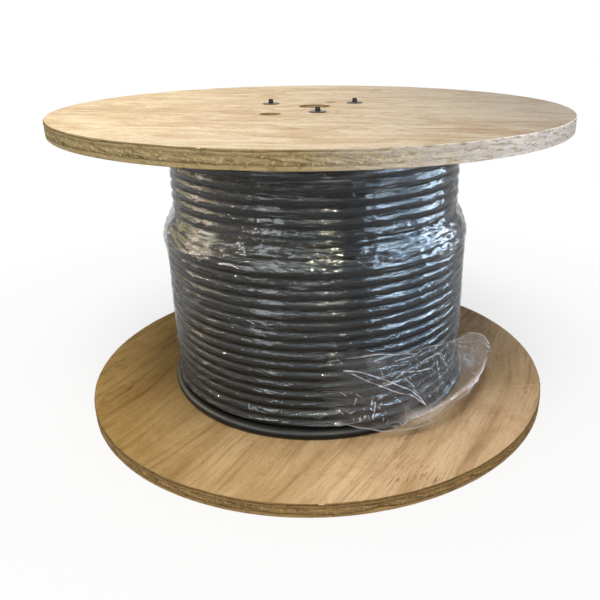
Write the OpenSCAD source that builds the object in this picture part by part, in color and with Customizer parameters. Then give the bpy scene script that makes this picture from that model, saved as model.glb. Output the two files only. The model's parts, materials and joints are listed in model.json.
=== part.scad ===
// Plywood reel of electrical cable, standing on its lower flange.
// Millimetres, +Z up along the reel's axis, origin at the centre of the lower flange's underside.

/* [Flanges] */
// Diameter of both plywood flanges
flange_d = 559; // [500:1:700]
// Thickness of the plywood
flange_t = 15.9; // [14:0.1:22]
// Clear width between the flanges
traverse = 305; // [270:1:360]
// Easing on the sawn edges of the flanges
edge_ease = 0.8; // [0.2:0.1:2]
// Diameter of the arbor hole in the middle
arbor_d = 35; // [25:0.5:45]
// Diameter of the drive-pin hole
drive_d = 22; // [12:0.5:24]
// Distance of the drive-pin hole from the axis
drive_r = 82; // [76:0.5:84]
// Direction of the drive-pin hole, in degrees from +X
drive_angle = -121; // [-140:1:-100]
// Diameter of the small hole beside the arbor hole
pilot_d = 12; // [6:0.5:16]
// Distance of the small hole from the axis
pilot_r = 47; // [40:0.5:60]
// Direction of the small hole, in degrees from +X
pilot_angle = 68; // [60:1:80]

/* [Drum] */
// Outer diameter of the fibre drum
drum_d = 216; // [212:1:240]
// Wall of the fibre drum
drum_wall = 6.4; // [4:0.1:8]
// Depth of the groove that seats the drum in each flange
drum_seat = 3; // [1:0.5:6]
// Clearance of the drum in its grooves
drum_clear = 0.3; // [0.1:0.05:0.6]

/* [Tie bolts] */
// Diameter of the tie bolts
bolt_d = 6.35; // [5:0.05:8]
// Diameter of the circle that the bolts stand on
bolt_circle_d = 112; // [104:1:124]
// Number of bolts
bolt_count = 3; // [3:1:6]
// Direction of the first bolt, in degrees from +X
bolt_angle = 36; // [30:1:40]
// Clearance around a bolt in the wood and in its nut
bolt_clear = 0.2; // [0.1:0.05:0.4]
// Length of bolt that stands past its nut
bolt_end = 4; // [2:0.5:8]
// Diameter of the round bolt head
head_d = 15; // [12:0.5:18]
// Height of the round bolt head
head_h = 3.6; // [2.5:0.1:4.5]
// Length of the square neck under the head
neck_h = 4; // [2:0.5:6]
// Depth that the head lies below the lower flange's underside
head_sunk = 0.8; // [0.4:0.1:1.5]
// Clearance around the head in its counterbore
head_clear = 1.5; // [0.5:0.1:3]
// Diameter of the tee nut's flange
nut_flange_d = 19; // [16:0.5:22]
// Thickness of the tee nut's flange
nut_flange_t = 1.5; // [1:0.1:2.5]
// Outer diameter of the tee nut's barrel
nut_barrel_d = 9; // [8.8:0.1:11]
// Length of the tee nut's barrel in the wood
nut_barrel_h = 9; // [5:0.5:12]

/* [Cable] */
// Outer diameter of the cable
cable_d = 11; // [8:0.5:13]
// Least gap between neighbouring turns and layers
turn_gap = 0.2; // [0.1:0.05:0.5]
// Gap between the winding and the flanges and drum
wind_gap = 0.3; // [0.2:0.05:0.6]
// Number of layers that fill the whole traverse
full_layers = 5; // [3:1:6]
// Height up the traverse that the last, part-wound layer reaches
outer_layer_h = 195; // [120:1:230]

/* [Stretch film] */
// Thickness of the wrap, all its passes together
film_t = 0.6; // [0.4:0.1:1.2]
// Clearance between the wrap and the turns under it
film_gap = 0.6; // [0.5:0.1:1.5]
// Height of bare cable below the wrap
film_bare = 18; // [10:1:40]
// Gap between the wrap's upper edge and the upper flange
film_top_gap = 1.5; // [0.5:0.1:5]
// How far the wrap spreads where it meets the upper flange
film_flare = 4; // [1:0.5:8]
// Height over which the wrap spreads under the upper flange
film_flare_h = 28; // [10:1:40]
// Height over which the wrap bridges down to the full layers
film_bridge_h = 34; // [12:1:40]
// How far the loose flap stands out from the winding
flap_reach = 38; // [10:1:45]
// Height of the loose flap
flap_h = 78; // [60:1:110]
// How far the flap's hem drops below the rest of the wrap's edge
flap_drop = 2; // [0:1:14]
// Direction where the flap begins, in degrees from +X
flap_from = -88; // [-100:1:-80]
// Direction where the flap ends, in degrees from +X
flap_to = -9; // [-20:1:20]
// Turn over which the flap lifts off the winding, in degrees
flap_rise = 45; // [20:1:50]
// Turn over which the flap comes back to the winding, in degrees
flap_return = 14; // [10:1:30]

/* [Hidden] */
$fn = 96;
through = 1;

reel_h = traverse + 2 * flange_t;
upper_z = flange_t + traverse;
bolt_r = bolt_circle_d / 2;
bolt_names = [for (i = [1:bolt_count]) str("tie_bolt_", i)];
nut_names = [for (i = [1:bolt_count]) str("tee_nut_", i)];

// Winding: turns up the traverse, layers out from the drum
bore_r = drum_d / 2 + wind_gap;
turns = floor((traverse - 2 * wind_gap) / (cable_d + turn_gap));
turn_pitch = (traverse - 2 * wind_gap - cable_d) / (turns - 1);
outer_turns = floor(outer_layer_h / turn_pitch);
function turn_z(i) = flange_t + wind_gap + cable_d / 2 + i * turn_pitch;
function layer_r(k) = bore_r + (k + 0.5) * (cable_d + turn_gap);
full_r = layer_r(full_layers - 1) + cable_d / 2;
outer_r = layer_r(full_layers) + cable_d / 2;

// Wrap: levels from the lower hem to the upper edge.
// Each is a height, the radius that it covers and its share of the flap's reach.
film_sides = 72;
hem_z = flange_t + film_bare;
step_z = turn_z(outer_turns - 1) + 0.3 * cable_d;
film_top_z = upper_z - film_top_gap;
film_levels = [
  [hem_z, outer_r, 0.82],
  [hem_z + 0.35 * flap_h, outer_r, 1],
  [hem_z + 0.7 * flap_h, outer_r, 0.55],
  [hem_z + flap_h, outer_r, 0],
  [step_z, outer_r, 0],
  [step_z + film_bridge_h, full_r, 0],
  [film_top_z - film_flare_h, full_r, 0],
  [film_top_z, full_r + film_flare, 0],
];
level_count = len(film_levels);

module at_bolt(i) {
  rotate([0, 0, bolt_angle + i * 360 / bolt_count]) translate([bolt_r, 0, 0]) children();
}

// A hole right through a flange, at a distance from the axis and in a direction
module flange_hole(d, r = 0, angle = 0) {
  rotate([0, 0, angle])
    translate([r, 0, -through])
      cylinder(d = d, h = flange_t + 2 * through);
}

// One sawn plywood disc with its eased edges, arbor hole, drive-pin hole and small hole
module flange_blank() {
  r = flange_d / 2;
  difference() {
    rotate_extrude()
      polygon([
        [0, 0],
        [r - edge_ease, 0],
        [r, edge_ease],
        [r, flange_t - edge_ease],
        [r - edge_ease, flange_t],
        [0, flange_t],
      ]);
    flange_hole(arbor_d);
    flange_hole(drive_d, drive_r, drive_angle);
    flange_hole(pilot_d, pilot_r, pilot_angle);
  }
}

// Ring cut out of a flange's inner face to seat the drum
module drum_groove() {
  rotate_extrude()
    translate([drum_d / 2 - drum_wall - drum_clear, 0])
      square([drum_wall + 2 * drum_clear, drum_seat + through]);
}

module lower_flange() {
  color("burlywood")
    difference() {
      flange_blank();
      translate([0, 0, flange_t - drum_seat]) drum_groove();
      for (i = [0:bolt_count - 1]) at_bolt(i) {
        flange_hole(bolt_d + 2 * bolt_clear);
        translate([0, 0, -through])
          cylinder(d = head_d + 2 * head_clear, h = head_h + head_sunk + through);
        square_neck(bolt_clear);
      }
    }
}

module upper_flange() {
  color("wheat")
    translate([0, 0, upper_z])
      difference() {
        flange_blank();
        translate([0, 0, -through]) drum_groove();
        for (i = [0:bolt_count - 1]) at_bolt(i) flange_hole(nut_barrel_d + 2 * bolt_clear);
      }
}

module drum() {
  color("peru")
    translate([0, 0, flange_t - drum_seat])
      difference() {
        cylinder(d = drum_d, h = traverse + 2 * drum_seat);
        translate([0, 0, -through])
          cylinder(d = drum_d - 2 * drum_wall, h = traverse + 2 * (drum_seat + through));
      }
}

// The neck that keeps a bolt from turning, or with a clearance the hole that it sits in
module square_neck(clear) {
  w = bolt_d + 2 * clear;
  translate([-w / 2, -w / 2, head_sunk + head_h - clear]) cube([w, w, neck_h + 2 * clear]);
}

// Round-headed bolt from the lower flange's counterbore to past the tee nut
module tie_bolt(i) {
  seat_z = head_sunk + head_h;
  dome_r = (head_d * head_d / 4 + head_h * head_h) / (2 * head_h);
  tip = bolt_d / 8;
  end_z = reel_h + nut_flange_t + bolt_end;
  color("dimgray")
    at_bolt(i) {
      intersection() {
        translate([0, 0, head_sunk + dome_r]) sphere(dome_r);
        translate([0, 0, head_sunk]) cylinder(d = head_d, h = head_h);
      }
      square_neck(0);
      translate([0, 0, seat_z]) cylinder(d = bolt_d, h = end_z - tip - seat_z);
      translate([0, 0, end_z - tip]) cylinder(d1 = bolt_d, d2 = bolt_d - 2 * tip, h = tip);
    }
}

// Tee nut: its flange lies on the upper flange and its barrel sits in the wood
module tee_nut(i) {
  color("gray")
    at_bolt(i)
      translate([0, 0, reel_h])
        difference() {
          union() {
            cylinder(d = nut_flange_d, h = nut_flange_t);
            translate([0, 0, -nut_barrel_h]) cylinder(d = nut_barrel_d, h = nut_barrel_h);
          }
          translate([0, 0, -nut_barrel_h - through])
            cylinder(d = bolt_d + 2 * bolt_clear, h = nut_barrel_h + nut_flange_t + 2 * through);
        }
}

// Section of one turn of cable
module turn(k, i) {
  translate([layer_r(k), turn_z(i)]) circle(d = cable_d);
}

// Solid part of a run of turns, between the first and last turn's centres
module packed(r_in, r_out, last_turn) {
  translate([r_in, turn_z(0)]) square([r_out - r_in, turn_z(last_turn) - turn_z(0)]);
}

// The whole winding, turned in one, with the round backs of its turns outside and on both ends
module cable_winding() {
  last = full_layers - 1;
  color("#2b2d31")
    rotate_extrude() {
      packed(bore_r, layer_r(last), turns - 1);
      packed(layer_r(last), layer_r(full_layers), outer_turns - 1);
      for (i = [0:turns - 1]) turn(last, i);
      for (i = [0:outer_turns - 1]) turn(full_layers, i);
      for (k = [0:last - 1]) {
        turn(k, 0);
        turn(k, turns - 1);
      }
    }
}

// 0 up to t = 0, 1 from t = 1 on, and an S-curve between
function ease(t) = let (u = min(1, max(0, t))) u * u * (3 - 2 * u);

// How much of the flap's reach the wrap has in a direction
function flap_share(a) = ease((a - flap_from) / flap_rise) * ease((flap_to - a) / flap_return);

// A point of the wrap: its level, its direction, and how far outside its inner face
function film_point(level, a, out) =
  let (share = flap_share(a) * level[2])
  let (r = level[1] + film_gap + share * flap_reach + out)
  let (z = level[0] - (level[0] == hem_z ? flap_share(a) * flap_drop : 0))
  [r * cos(a), r * sin(a), z];

// Clear wrap round the winding, one thin closed shell with its loose flap
module stretch_film() {
  step = 360 / film_sides;
  ring = 2 * level_count;
  function section(a) = concat(
    [for (level = film_levels) film_point(level, a, 0)],
    [for (i = [level_count - 1:-1:0]) film_point(film_levels[i], a, film_t)]
  );
  points = [for (j = [0:film_sides - 1]) each section(j * step - 180)];
  faces = [
    for (j = [0:film_sides - 1], i = [0:ring - 1])
      let (a = j * ring, b = ((j + 1) % film_sides) * ring, n = (i + 1) % ring)
        each [[a + i, b + i, b + n], [a + i, b + n, a + n]]
  ];
  color([0.85, 0.88, 0.9, 0.35]) polyhedron(points, faces);
}

lower_flange();
upper_flange();
drum();
for (i = [0:bolt_count - 1]) {
  tie_bolt(i);
  tee_nut(i);
}
cable_winding();
stretch_film();
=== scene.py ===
"""A plywood reel of black electrical cable under clear stretch film, standing on its lower flange.

Metres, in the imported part's frame: +Z up the reel's axis, -Y towards the camera, +X to its right.
"""

import json
import math
import random

import bmesh
import bpy
from mathutils import Matrix, Vector, noise


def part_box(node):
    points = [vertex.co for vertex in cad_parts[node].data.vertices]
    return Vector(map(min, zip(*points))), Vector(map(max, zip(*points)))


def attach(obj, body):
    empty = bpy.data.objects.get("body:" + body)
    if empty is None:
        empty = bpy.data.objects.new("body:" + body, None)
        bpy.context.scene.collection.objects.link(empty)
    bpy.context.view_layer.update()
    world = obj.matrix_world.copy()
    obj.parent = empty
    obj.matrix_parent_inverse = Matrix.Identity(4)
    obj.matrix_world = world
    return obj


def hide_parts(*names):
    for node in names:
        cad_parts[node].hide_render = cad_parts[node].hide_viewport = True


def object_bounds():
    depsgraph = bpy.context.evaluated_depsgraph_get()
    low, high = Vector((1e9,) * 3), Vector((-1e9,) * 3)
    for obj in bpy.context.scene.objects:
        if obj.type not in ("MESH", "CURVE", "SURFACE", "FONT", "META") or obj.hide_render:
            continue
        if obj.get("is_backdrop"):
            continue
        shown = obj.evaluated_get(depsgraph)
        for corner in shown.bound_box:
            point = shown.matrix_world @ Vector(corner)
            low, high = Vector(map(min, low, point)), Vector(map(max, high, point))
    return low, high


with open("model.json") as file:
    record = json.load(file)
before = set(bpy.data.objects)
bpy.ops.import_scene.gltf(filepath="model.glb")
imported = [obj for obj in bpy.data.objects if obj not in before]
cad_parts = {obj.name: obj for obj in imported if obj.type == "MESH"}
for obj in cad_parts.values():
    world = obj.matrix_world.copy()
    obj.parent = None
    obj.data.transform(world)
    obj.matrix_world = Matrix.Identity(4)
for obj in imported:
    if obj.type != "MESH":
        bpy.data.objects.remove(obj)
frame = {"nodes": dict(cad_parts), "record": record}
cad_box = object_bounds()

MM = 0.001
FULL_TURN = 2 * math.pi

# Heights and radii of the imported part
LOWER_LOW, LOWER_TOP = (corner.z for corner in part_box("lower_flange"))
UPPER_LOW, UPPER_TOP = (corner.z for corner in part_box("upper_flange"))
FLANGE_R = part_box("upper_flange")[1].x
FLANGE_T = UPPER_TOP - UPPER_LOW
WINDING_LOW, WINDING_TOP = (corner.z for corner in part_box("cable_winding"))
OUTER_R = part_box("cable_winding")[1].x
FILM_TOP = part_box("stretch_film")[1].z
DRUM_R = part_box("drum")[1].x
MOUNTS = {mount["name"]: mount for mount in frame["record"]["mounts"]}

# Cable: five full layers, and a part-wound one over them up to STEP_Z
CABLE_R = 5.5 * MM
LAYER_STEP = 11.2 * MM
FULL_TURNS = 27
OUTER_TURNS = 17
PITCH = (WINDING_TOP - WINDING_LOW - 2 * CABLE_R) / (FULL_TURNS - 1)
FIRST_Z = WINDING_LOW + CABLE_R
FULL_R = OUTER_R - LAYER_STEP
STEP_Z = FIRST_Z + (OUTER_TURNS - 1) * PITCH


def smooth(low, high, value):
    """0 below low, 1 above high and an S-curve between."""
    t = min(1.0, max(0.0, (value - low) / (high - low)))
    return t * t * (3 - 2 * t)


def hump(value, width):
    """1 at zero, falling to nothing a few widths away on both sides."""
    return math.exp(-((value / width) ** 2))


def azimuth_of(co):
    """Direction of a point round the reel's axis, in degrees from +X."""
    return math.degrees(math.atan2(co.y, co.x))


def polar(radius, degrees, z):
    """The point at a radius and a direction round the reel's axis."""
    turn = math.radians(degrees)
    return Vector((radius * math.cos(turn), radius * math.sin(turn), z))


def ripple(co, around, up, seed=0.0):
    """Smooth noise from -1 to 1 at a point, in cells so many to the metre round the reel and up it."""
    return noise.noise(Vector((co.x * around, co.y * around, co.z * up + seed)))


# Node materials


class Finish:
    """One node material: a Principled shader and short calls that feed it."""

    def __init__(self, name, roughness=0.5, specular=0.5, metallic=0.0):
        self.material = bpy.data.materials.new(name)
        self.material.use_nodes = True
        self.tree = self.material.node_tree
        self.shader = self.tree.nodes["Principled BSDF"]
        self.shader.inputs["Roughness"].default_value = roughness
        self.shader.inputs["Specular IOR Level"].default_value = specular
        self.shader.inputs["Metallic"].default_value = metallic
        self.where = self.add("TexCoord").outputs["Object"]

    def add(self, kind, inputs=None, **settings):
        """A new node, its inputs linked to sockets or set to values."""
        node = self.tree.nodes.new("ShaderNode" + kind)
        for name, value in settings.items():
            setattr(node, name, value)
        for key, value in (inputs or {}).items():
            if isinstance(value, bpy.types.NodeSocket):
                self.tree.links.new(value, node.inputs[key])
            else:
                node.inputs[key].default_value = value
        return node

    def feed(self, socket, source):
        self.tree.links.new(source, self.shader.inputs[socket])

    def place(self, stretch=(1, 1, 1), turn=0.0, shift=(0, 0, 0), source=None):
        """Coordinates turned about Z by so many degrees, then stretched and shifted."""
        start = source or self.where
        rotated = self.add("Mapping", {"Vector": start, "Rotation": (0, 0, math.radians(turn))})
        stretched = {"Vector": rotated.outputs[0], "Scale": stretch, "Location": shift}
        return self.add("Mapping", stretched).outputs[0]

    def noise(
        self, cells, detail=3.0, roughness=0.55, distortion=0.0, turn=0.0, shift=(0, 0, 0), source=None
    ):
        """Noise about 0.5, in cells so many to the metre along each axis."""
        return self.add("TexNoise", {
            "Vector": self.place(cells, turn, shift, source), "Scale": 1.0, "Detail": detail,
            "Roughness": roughness, "Distortion": distortion,
        }).outputs["Fac"]

    def axis(self, name):
        return self.add("SeparateXYZ", {"Vector": self.where}).outputs[name]

    def span(self, value, low, high, to_low=0.0, to_high=1.0):
        """A value between low and high, carried to the range between to_low and to_high."""
        return self.add("MapRange", {
            "Value": value, "From Min": low, "From Max": high, "To Min": to_low, "To Max": to_high,
        }).outputs["Result"]

    def math(self, operation, a, b):
        return self.add("Math", {0: a, 1: b}, operation=operation).outputs[0]

    def ramp(self, value, stops):
        """Colours by a value, from stops of position and colour."""
        node = self.add("ValToRGB", {"Fac": value})
        band = node.color_ramp
        while len(band.elements) < len(stops):
            band.elements.new(0.5)
        for element, (position, colour) in zip(band.elements, stops):
            element.position = position
            element.color = (*colour, 1.0)
        return node.outputs["Color"]

    def mix(self, share, a, b, blend="MIX"):
        """Colour a, with b over it by a share."""
        inputs = {
            0: share,
            6: a if isinstance(a, bpy.types.NodeSocket) else (*a, 1.0),
            7: b if isinstance(b, bpy.types.NodeSocket) else (*b, 1.0),
        }
        return self.add("Mix", inputs, data_type="RGBA", blend_type=blend).outputs[2]

    def bump(self, height, distance, normal=None, strength=1.0):
        """Relief of a height, over the relief of another normal if there is one."""
        inputs = {"Height": height, "Distance": distance, "Strength": strength}
        if normal:
            inputs["Normal"] = normal
        return self.add("Bump", inputs).outputs["Normal"]


# Plywood: colours, and where on the reel they change; each face's tone from left to right is painted light
# and shade
PAINTED_LIGHT_FROM_X, PAINTED_LIGHT_TO_X = -0.2, 0.24
GRAIN_BEND = 0.03
DASH_SHARE = 0.8
# Upper face: pale at the left and darker to the right, painted light falling from the left
UPPER_PAINTED_LIGHT_TONES = [(0.0, (0.945, 0.785, 0.525)), (0.5, (0.765, 0.65, 0.48)), (1.0, (0.45, 0.40, 0.327))]
UPPER_WARM, UPPER_STREAK = (0.78, 0.68, 0.58), (0.58, 0.48, 0.40)
UPPER_FIGURE = {
    "bands": 0.3, "blotches": 0.7, "shorts": 0.8, "lines": 0.3, "grain": 0.35, "specks": 0.5,
}
# Lower face: dark at the left and darker at the right than at the front, painted shade under the upper
# flange and the flap
LOWER_PAINTED_SHADE_TONES = [(0.0, (0.47, 0.31, 0.11)), (0.5, (0.79, 0.565, 0.32)), (1.0, (0.73, 0.525, 0.33))]
LOWER_WARM, LOWER_STREAK = (0.72, 0.65, 0.53), (0.44, 0.36, 0.27)
LOWER_FIGURE = {
    "bands": 0.7, "blotches": 0.45, "shorts": 0.3, "lines": 0.55, "grain": 0.3, "specks": 0.25,
}
UPPER_GRAIN_TURN, LOWER_GRAIN_TURN = 12, -64
UPPER_EDGE_PALE, UPPER_EDGE_BROWN = (0.52, 0.40, 0.20), (0.29, 0.21, 0.095)
LOWER_EDGE_PALE, LOWER_EDGE_BROWN = (0.42, 0.275, 0.115), (0.19, 0.112, 0.042)
# Hole walls: paler than the rim, partly cleaner drilled wood and partly painted light on walls that lie in
# shade
BORE_PALE_AND_LIT, BORE_BROWN_AND_LIT = (0.80, 0.62, 0.34), (0.55, 0.40, 0.19)
TORN_FIBRE = (0.95, 0.91, 0.87)
UPPER_TORN_FROM, LOWER_TORN_FROM = 0.0, 0.26
NOWHERE_TORN = 9.0
TORN_FADE = 0.18
TORN_BACK, TORN_FRONT = 0.12, -0.03
PLY_WANDER = 1.1 * MM
STROKE_SLANT = 9


def plywood_face(name, painted_light_tones, warm, streak, grain_turn, figure, seed):
    """Sanded face veneer: a tone from left to right across it that is painted light and shade, figure along
    the grain, blotches and dashes.
    """
    wood = Finish(name, specular=0.12)
    along = wood.place((1, 1, 1), grain_turn)
    bend = wood.noise((2, 5, 1), 2.0, shift=(seed, 0, 0), source=along)
    strayed = wood.span(bend, 0.2, 0.8, -GRAIN_BEND, GRAIN_BEND)
    sideways = wood.add("CombineXYZ", {"Y": strayed}).outputs[0]
    bent = wood.add("VectorMath", {0: along, 1: sideways}, operation="ADD").outputs[0]
    bands = wood.noise((1.6, 22, 1), 3.0, 0.6, shift=(0, seed, 0), source=bent)
    lines = wood.noise((3.4, 80, 1), 3.0, 0.65, shift=(seed, seed, 0), source=bent)
    fine = wood.noise((26, 560, 26), 3.0, 0.6, shift=(0, 0, seed), source=bent)
    blotches = wood.noise((11, 17, 1), 6.0, 0.72, 0.8, shift=(seed, 0, 0), source=along)
    shorts = wood.noise((20, 130, 1), 4.0, 0.7, shift=(seed, 0, 2), source=bent)
    specks = wood.noise((170, 320, 1), 3.0, 0.7, shift=(0, seed, 0), source=along)
    patch = wood.span(wood.noise((5, 8, 1), 2.0, shift=(0, 0, seed), source=along), 0.5, 0.62)
    dash = wood.span(wood.noise((55, 420, 1), 1.0, shift=(seed, 0, 0), source=bent), 0.6, 0.68)
    dashes = wood.math("MULTIPLY", wood.math("MULTIPLY", patch, dash), DASH_SHARE)
    layers = [
        (bands, 0.4, 0.66, figure["bands"], warm),
        (blotches, 0.46, 0.58, figure["blotches"], warm),
        (shorts, 0.54, 0.64, figure["shorts"], warm),
        (lines, 0.5, 0.66, figure["lines"], streak),
        (fine, 0.45, 0.75, figure["grain"], streak),
        (specks, 0.5, 0.72, figure["specks"], streak),
    ]
    # Tone by X across the face: painted light and shade
    body = wood.ramp(wood.span(wood.axis("X"), PAINTED_LIGHT_FROM_X, PAINTED_LIGHT_TO_X), painted_light_tones)
    for pattern, low, high, share, colour in layers:
        body = wood.mix(wood.span(pattern, low, high, 0.0, share), body, colour, "MULTIPLY")
    wood.feed("Base Color", wood.mix(dashes, body, streak, "MULTIPLY"))
    wood.feed("Roughness", wood.span(fine, 0.3, 0.7, 0.62, 0.82))
    wood.feed("Normal", wood.bump(fine, 0.25 * MM, wood.bump(lines, 0.3 * MM, strength=0.6), 0.6))
    return wood


def plywood_edge(name, low_z, pale, brown, torn_from, seed):
    """Sawn edge: plies by height, slanted strokes and specks in the cross ply, torn fibres to one side."""
    wood = Finish(name, specular=0.08)
    wander = wood.noise((14, 14, 60), shift=(seed, 0, 0))
    height = wood.math("ADD", wood.axis("Z"), wood.span(wander, 0.2, 0.8, -PLY_WANDER, PLY_WANDER))
    level = wood.span(height, low_z, low_z + FLANGE_T)
    mid = [0.55 * p + 0.45 * b for p, b in zip(pale, brown)]
    line = [0.5 * c for c in brown]
    plies = wood.ramp(level, [
        (0.0, mid), (0.05, pale), (0.24, pale), (0.27, line), (0.30, brown), (0.36, mid), (0.52, pale),
        (0.68, mid), (0.72, brown), (0.75, mid), (0.86, pale), (0.89, line), (0.95, brown), (1.0, mid),
    ])
    some, full = (0.25,) * 3, (1,) * 3
    cross_ply = wood.ramp(level, [(0.25, some), (0.32, full), (0.68, full), (0.76, some)])
    turn = wood.math("ARCTAN2", wood.axis("X"), wood.math("MULTIPLY", wood.axis("Y"), -1.0))
    run = wood.math("MULTIPLY", turn, FLANGE_R)
    around = wood.add("CombineXYZ", {"X": run, "Y": wood.axis("Z")}).outputs[0]
    strokes = wood.noise((34, 330, 1), 4.0, 0.65, 0.4, STROKE_SLANT, (seed, 0, 0), around)
    specks = wood.noise((330, 330, 420), 3.0, 0.65, shift=(0, seed, 0))
    fibres = wood.noise((40, 40, 900), 4.0, 0.65, shift=(0, seed, 0))
    pits = wood.span(wood.noise((120, 120, 300), 3.0, 0.6), 0.58, 0.68)
    dark_strokes = wood.math("MULTIPLY", wood.span(strokes, 0.5, 0.62, 0.0, 0.85), cross_ply)
    pale_specks = wood.math("MULTIPLY", wood.span(specks, 0.54, 0.66, 0.0, 0.8), cross_ply)
    body = wood.mix(wood.span(fibres, 0.38, 0.66, 0.0, 0.5), plies, brown)
    body = wood.mix(dark_strokes, body, line)
    body = wood.mix(pale_specks, body, [min(1.0, 1.4 * c) for c in pale])
    body = wood.mix(wood.span(pits, 0, 1, 0, 0.6), body, line)
    side = wood.span(wood.axis("X"), torn_from, torn_from + TORN_FADE)
    side = wood.math("MULTIPLY", side, wood.span(wood.axis("Y"), TORN_BACK, TORN_FRONT))
    tufts = wood.span(wood.noise((90, 90, 420), 5.0, 0.75, shift=(0, 0, seed)), 0.34, 0.5)
    torn = wood.math("MULTIPLY", wood.math("MULTIPLY", side, tufts), 0.95)
    wood.feed("Base Color", wood.mix(torn, body, TORN_FIBRE))
    wood.feed("Roughness", wood.span(specks, 0.3, 0.7, 0.8, 0.95))
    wood.feed("Normal", wood.bump(specks, 1.0 * MM, wood.bump(strokes, 1.0 * MM)))
    return wood


JACKET_BLACK, JACKET_DUST = (0.011, 0.0112, 0.0108), (0.021, 0.0215, 0.0205)


def cable_jacket():
    """Black sheath: satin plastic with faint dust and rub marks along the turns."""
    jacket = Finish("cable_jacket_black", specular=0.15)
    dust = jacket.noise((18, 18, 60), 4.0)
    rubs = jacket.noise((60, 60, 900), 3.0)
    jacket.feed("Base Color", jacket.mix(jacket.span(dust, 0.35, 0.75), JACKET_BLACK, JACKET_DUST))
    jacket.feed("Roughness", jacket.span(rubs, 0.3, 0.75, 0.36, 0.5))
    jacket.feed("Normal", jacket.bump(rubs, 0.05 * MM, strength=0.4))
    return jacket.material


# Film: its colours, from left to right (on the wrap a painted reflection, olive-dark at the left, bluish
# and lighter at the right), where it is hazy and along its creases
# White of the creases, bluish: partly stress whitening, partly painted glints
CREASE_WHITE_AND_GLINT = (0.86, 0.90, 1.0)
REFLECTION_TINT_FROM_X, REFLECTION_TINT_TO_X = -0.04, 0.1
FILM_ALPHA_MOST = 0.95
CREASE_ALPHA = 0.8
WRAP_GLOSS, TAIL_GLOSS = 0.5, 0.25
# Wrap body colours, left then right: olive-dark and bluish-lighter, a painted reflection of the
# surroundings
WRAP_BODIES_AND_PAINTED_REFLECTION, WRAP_HAZE = ((0.028, 0.030, 0.026), (0.058, 0.072, 0.094)), (0.062, 0.067, 0.062)
WRAP_HAZY, WRAP_STROKE_H = (0.5, 0.72), 1.3 * MM
TAIL_BODIES, TAIL_HAZE = ((0.42, 0.41, 0.41), (0.42, 0.41, 0.41)), (0.88, 0.82, 0.77)
TAIL_HAZY, TAIL_STROKE_H = (0.22, 0.45), 0.3 * MM


def clear_film(name, bodies_and_painted_reflection, haze, hazy, specular, stroke_h):
    """Stretch film: glossy and crinkled, hazy where it is thick, white along its creases; on the wrap its
    tint by side is painted reflection, its crests painted light and its white partly painted glints.
    """
    film = Finish(name, specular=specular)
    veil_and_painted_crest_light = film.add("Attribute", attribute_name="veil_and_painted_crest_light").outputs["Fac"]
    film.feed("Roughness", film.span(veil_and_painted_crest_light, 0.48, 0.64, 0.06, 0.22))
    # Thin white lines along the turns, in patches: painted highlights
    lines = film.span(film.noise((20, 20, 520), 3.0, 0.6), 0.55, 0.68)
    highlight_patches = film.span(film.noise((10, 10, 24), 2.0), 0.45, 0.65, 0.0, 0.4)
    crease_white_and_glint = film.add("Attribute", attribute_name="crease_white_and_glint").outputs["Fac"]
    crease_white_and_glint = film.math("MAXIMUM", crease_white_and_glint, film.math("MULTIPLY", lines, highlight_patches))
    stretch = film.noise((30, 30, 150), 3.0, 0.55, 0.5)
    strokes = film.noise((58, 58, 240), 2.0, 0.5, 0.5)
    puckers = film.noise((120, 120, 190), 2.0, 0.5, 0.6)
    crinkle = film.noise((270, 270, 380), 2.0, 0.5, 0.4)
    # Body colour from left to right: on the wrap a painted reflection
    body = film.mix(film.span(film.axis("X"), REFLECTION_TINT_FROM_X, REFLECTION_TINT_TO_X), *bodies_and_painted_reflection)
    tint = film.mix(film.span(veil_and_painted_crest_light, *hazy), body, haze)
    # White along the creases: partly stress whitening, partly painted glints
    film.feed("Base Color", film.mix(film.span(crease_white_and_glint, 0.1, 0.8), tint, CREASE_WHITE_AND_GLINT))
    alpha = film.math("ADD", veil_and_painted_crest_light, film.span(crease_white_and_glint, 0, 1, 0, CREASE_ALPHA))
    film.feed("Alpha", film.math("MINIMUM", alpha, FILM_ALPHA_MOST))
    wavy = film.bump(puckers, 0.7 * MM, film.bump(stretch, 0.8 * MM))
    drawn_fine = film.bump(strokes, stroke_h, wavy)
    film.feed("Normal", film.bump(crinkle, 0.2 * MM, drawn_fine))
    return film.material


BOLT_ZINC, NUT_ZINC = (0.07, 0.066, 0.06), (0.175, 0.162, 0.138)


def dull_zinc(name, colour):
    """Plated steel, dulled and a little stained."""
    zinc = Finish(name, metallic=1.0)
    stain = zinc.noise((300, 300, 300), 4.0)
    zinc.feed("Base Color", zinc.mix(zinc.span(stain, 0.4, 0.7), colour, [0.5 * c for c in colour]))
    zinc.feed("Roughness", zinc.span(stain, 0.3, 0.7, 0.28, 0.55))
    zinc.feed("Normal", zinc.bump(stain, 0.08 * MM, strength=0.5))
    return zinc.material


BOARD_DARK, BOARD_LIGHT, BOARD_SEAM = (0.30, 0.20, 0.11), (0.40, 0.28, 0.16), (0.12, 0.08, 0.045)
BOARD_LEAD = 110 * MM


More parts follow.
